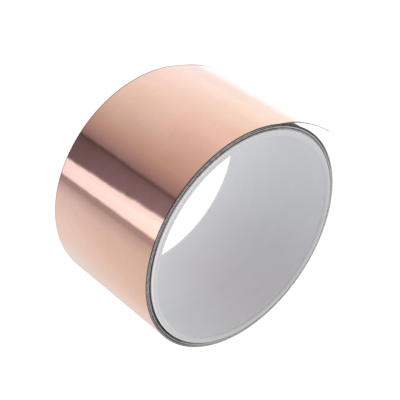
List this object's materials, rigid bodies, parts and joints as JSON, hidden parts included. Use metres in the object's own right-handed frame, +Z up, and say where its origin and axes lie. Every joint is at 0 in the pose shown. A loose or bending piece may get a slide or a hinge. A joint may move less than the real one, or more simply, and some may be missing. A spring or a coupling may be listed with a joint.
{
  "type": "copper foil tape roll",
  "caption": "Roll of wide copper foil tape on a plain open tube core. The free end lifts off the roll and its foil peels off the release liner.",
  "frame": {"origin": "centre of the bounding box: on the roll's axis, half-way between the core's near end and the tape's far edge", "axes": "+Y along the roll's axis, away from the end where the core stands proud; +Z up with the roll lying on its curved side; +X the side towards which the free end leaves near the top"},
  "size_m": [0.0852, 0.0516, 0.0853],
  "materials": {
    "core": "smooth light grey-white moulded tube, soft sheen",
    "liner": "off-white siliconised release paper",
    "adhesive": "thin grey acrylic adhesive",
    "foil": "bright rolled copper foil, satin"
  },
  "bodies": {
    "roll": {"core_tube": "core", "liner_wound": "liner", "adhesive_wound": "adhesive", "foil_wound": "foil"},
    "tail_1": {"liner_tail_1": "liner", "adhesive_tail_1": "adhesive", "foil_tail_1": "foil"},
    "tail_2": {"liner_tail_2": "liner", "adhesive_tail_2": "adhesive", "foil_tail_2": "foil"},
    "tail_3": {"liner_tail_3": "liner", "adhesive_tail_3": "adhesive", "foil_tail_3": "foil"},
    "tail_4": {"liner_tail_4": "liner", "adhesive_tail_4": "adhesive", "foil_tail_4": "foil"},
    "tail_5": {"liner_tail_5": "liner", "adhesive_tail_5": "adhesive", "foil_tail_5": "foil"},
    "flap_1": {"adhesive_flap_1": "adhesive", "foil_flap_1": "foil"},
    "flap_2": {"adhesive_flap_2": "adhesive", "foil_flap_2": "foil"}
  },
  "joints": [
    {"name": "tail_lift", "type": "hinge", "parent": "roll", "child": "tail_1", "pos_m": [0.01415, 0, 0.04047], "axis": [0, -1, 0], "range_deg": [-5, 55]},
    {"name": "tail_bend_2", "type": "hinge", "parent": "tail_1", "child": "tail_2", "pos_m": [0.01857, 0, 0.03915], "axis": [0, -1, 0], "range_deg": [-1.4, 14.9]},
    {"name": "tail_bend_3", "type": "hinge", "parent": "tail_2", "child": "tail_3", "pos_m": [0.02286, 0, 0.03748], "axis": [0, -1, 0], "range_deg": [-1.4, 14.9]},
    {"name": "tail_bend_4", "type": "hinge", "parent": "tail_3", "child": "tail_4", "pos_m": [0.027, 0, 0.03548], "axis": [0, -1, 0], "range_deg": [-1.4, 14.9]},
    {"name": "tail_bend_5", "type": "hinge", "parent": "tail_4", "child": "tail_5", "pos_m": [0.03097, 0, 0.03314], "axis": [0, -1, 0], "range_deg": [-2.1, 22.1]},
    {"name": "foil_peel", "type": "hinge", "parent": "tail_5", "child": "flap_1", "pos_m": [0.03266, 0, 0.03206], "axis": [0, -1, 0], "range_deg": [0, 65]},
    {"name": "foil_curl", "type": "hinge", "parent": "flap_1", "child": "flap_2", "pos_m": [0.03548, 0, 0.02998], "axis": [0, -1, 0], "range_deg": [0, 32.6]}
  ],
  "couplings": [
    {"joint": "tail_bend_2", "follows": "tail_lift", "ratio": 0.27},
    {"joint": "tail_bend_3", "follows": "tail_lift", "ratio": 0.27},
    {"joint": "tail_bend_4", "follows": "tail_lift", "ratio": 0.27},
    {"joint": "tail_bend_5", "follows": "tail_lift", "ratio": 0.4},
    {"joint": "foil_curl", "follows": "foil_peel", "ratio": 0.5}
  ]
}
